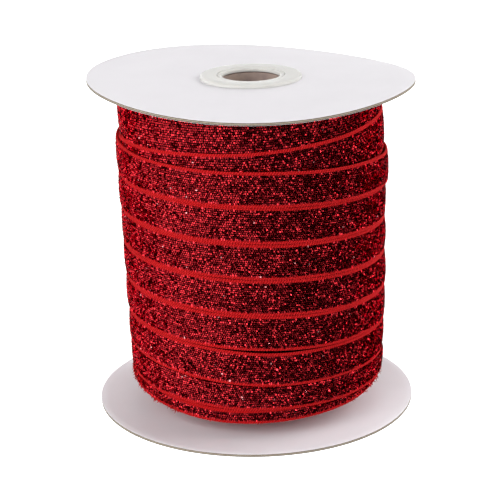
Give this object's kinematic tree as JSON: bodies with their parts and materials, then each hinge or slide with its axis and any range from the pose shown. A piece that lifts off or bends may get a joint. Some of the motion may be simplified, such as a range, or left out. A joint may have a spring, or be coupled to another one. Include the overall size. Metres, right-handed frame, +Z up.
{
  "type": "roll of glitter ribbon on a card spool",
  "caption": "Roll of narrow red glitter ribbon wound in side-by-side lanes on an upright spool with white card flanges and plastic hub rings round an open bore.",
  "frame": {"origin": "on the spool's axis, in the plane of the lower hub ring's outer face, on which it stands", "axes": "+Z up along the spool's axis, -Y the front"},
  "size_m": [0.089, 0.089, 0.0947],
  "materials": {
    "ribbon": "woven red ribbon full of glittering foil yarn, with plain matt selvedges",
    "card": "white coated greyboard with a grey-brown cut edge",
    "kraft_tube": "raw spiral-wound kraft",
    "hub_plastic": "milky moulded polypropylene"
  },
  "bodies": {
    "root": {"ribbon_roll": "ribbon", "flange_lower": "card", "flange_upper": "card", "core_tube": "kraft_tube", "hub_lower": "hub_plastic", "hub_upper": "hub_plastic"}
  },
  "joints": []
}
